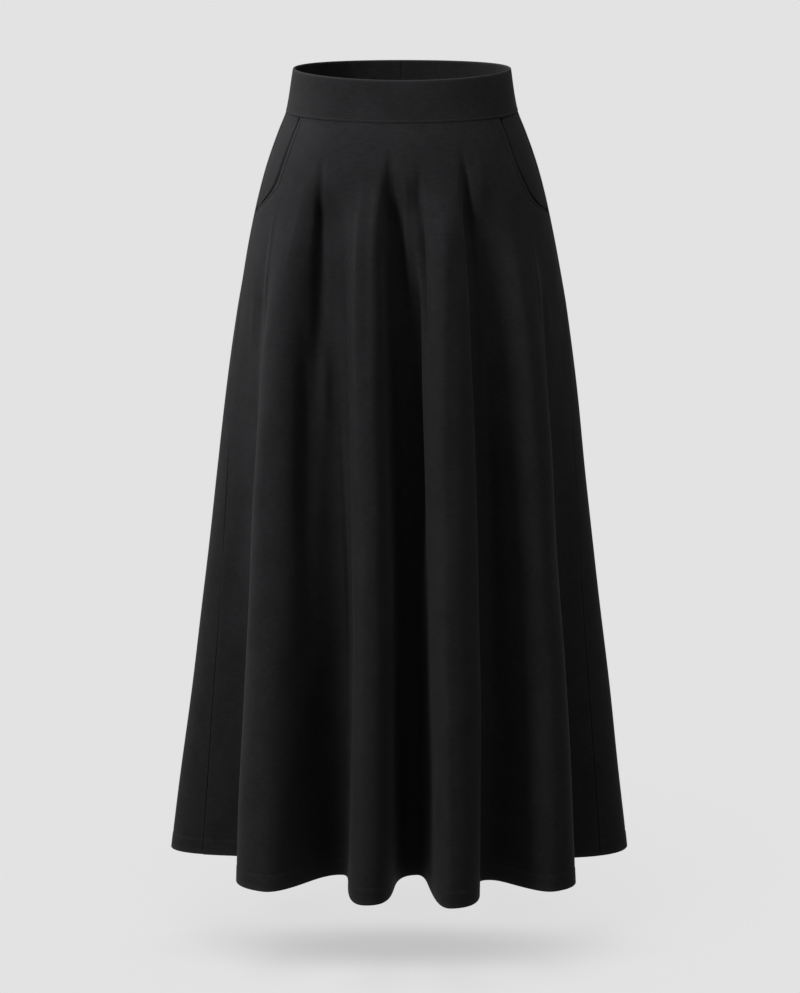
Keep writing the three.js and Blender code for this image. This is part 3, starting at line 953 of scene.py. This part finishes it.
def hem_stitches(name, start, end):
    place = np.linspace(start + HEM_STITCH_PLACE, end - HEM_STITCH_PLACE, HEM_LINE_POINTS)
    drop = np.full_like(place, LENGTH - HEM_TURN_UP - HEM_STITCH_RISE)
    return stitch_line(name, place, drop, HEM_STITCH)


threads = [
    (pocket_stitches("left"), "skirt_cloth"),
    (pocket_stitches("right"), "skirt_cloth"),
    (band_stitches(), "waistband_cloth"),
    (hem_stitches("front_hem_stitches", SEAM_LEFT, SEAM_RIGHT), "skirt_cloth"),
    (hem_stitches("back_hem_stitches", back_start, back_end), "skirt_cloth"),
]

# How it all belongs
settle(front, ["front_panel"])
settle(back, ["back_panel"])
settle(band, ["waistband"])
for side in SIDES:
    settle(hips[side], ["hip_piece_" + side])
    settle(bags[side], ["pocket_bag_" + side])
for piece, slot in threads:
    settle(piece, [])

# Studio
FLOOR_REACH = 40
FLOOR_HEIGHT = -1.041
FLOOR_GLOW = 0.697
FLOOR_COLOUR = 0.12
FLOOR_SUN = 1.4
FLOOR_SUN_SPREAD = 34
FLOOR_SUN_SPOT = (-0.1, -0.35, 1)
WORLD_LIGHT = 0.16
WALL_GLOW = 0.768
CAMERA_DISTANCE = 4.6
CAMERA_HEIGHT = 0.612
CAMERA_PITCH = 13.36
PICTURE_HEIGHT = 993
FOCAL_PIXELS = 4021
SKIRT_CENTRE_SHIFT = 2

Lamp = namedtuple("Lamp", "name spot size power")
LAMPS = [
    Lamp("top", (0, -0.6, 2.6), 1.5, 85),
    Lamp("key", (-2.1, -1.45, 1.15), 0.9, 104),
    Lamp("fill", (1.9, -1.3, 1.5), 1.2, 12),
    Lamp("rim", (-2.2, 1.25, 1.2), 0.9, 85),
]
LAMP_TARGET = (0, 0, -0.45)


def studio_floor():
    mesh = bpy.data.meshes.new("floor")
    corners = [(-1, -1), (1, -1), (1, 1), (-1, 1)]
    points = [(x * FLOOR_REACH, y * FLOOR_REACH, FLOOR_HEIGHT) for x, y in corners]
    mesh.from_pydata(points, [], [(0, 1, 2, 3)])
    mesh.materials.append(paper_floor("paper_floor", FLOOR_GLOW, FLOOR_COLOUR))
    floor = bpy.data.objects.new("floor", mesh)
    bpy.context.scene.collection.objects.link(floor)
    floor.visible_diffuse = False
    return floor


def add_light(light, spot, target, lit):
    """Places a light and aims it; it falls only on what is in lit."""
    holder = bpy.data.objects.new(light.name, light)
    bpy.context.scene.collection.objects.link(holder)
    holder.light_linking.receiver_collection = lit
    holder.location = spot
    holder.rotation_euler = (Vector(target) - Vector(spot)).to_track_quat("-Z", "Y").to_euler()


def soft_light(lamp, lit):
    """A round soft light on the skirt."""
    light = bpy.data.lights.new(lamp.name, "AREA")
    light.shape = "DISK"
    light.size = lamp.size
    light.energy = lamp.power
    add_light(light, lamp.spot, LAMP_TARGET, lit)


def floor_sun(lit):
    """Shines from nearly overhead, and throws the skirt's faint soft shadow on the floor."""
    light = bpy.data.lights.new("floor_sun", "SUN")
    light.energy = FLOOR_SUN
    light.angle = math.radians(FLOOR_SUN_SPREAD)
    add_light(light, FLOOR_SUN_SPOT, (0, 0, 0), lit)


def light_group(name, member, state):
    """What a light falls on: the member alone, or all but the member."""
    group = bpy.data.collections.new(name)
    group.objects.link(member)
    group.collection_objects[0].light_linking.link_state = state
    return group


floor = studio_floor()
all_but_floor = light_group("all_but_floor", floor, "EXCLUDE")
floor_alone = light_group("floor_alone", floor, "INCLUDE")
floor_sun(floor_alone)
for lamp in LAMPS:
    soft_light(lamp, all_but_floor)


def studio_world():
    """Pale walls as far as they are seen, and dim as light, so that the lamps shape the folds."""
    world = bpy.data.worlds.new("studio")
    world.use_nodes = True
    tree = world.node_tree
    ray = tree.nodes.new("ShaderNodeLightPath")
    strength = node(tree, "ShaderNodeMapRange", To_Min=WORLD_LIGHT, To_Max=WALL_GLOW)
    tree.links.new(ray.outputs["Is Camera Ray"], strength.inputs["Value"])
    background = tree.nodes["Background"]
    background.inputs["Color"].default_value = (1, 1, 1, 1)
    tree.links.new(strength.outputs["Result"], background.inputs["Strength"])
    bpy.context.scene.world = world


studio_world()
bpy.context.scene.view_settings.view_transform = "Standard"

lens = bpy.data.cameras.new("camera")
lens.sensor_width = 36
lens.lens = FOCAL_PIXELS / PICTURE_HEIGHT * lens.sensor_width
lens.shift_x = -SKIRT_CENTRE_SHIFT / PICTURE_HEIGHT
lens.clip_start = 0.1
lens.clip_end = 200
camera = bpy.data.objects.new("camera", lens)
camera.location = (0, -CAMERA_DISTANCE, CAMERA_HEIGHT)
camera.rotation_euler = (math.radians(90 - CAMERA_PITCH), 0, 0)
bpy.context.scene.collection.objects.link(camera)
bpy.context.scene.camera = camera
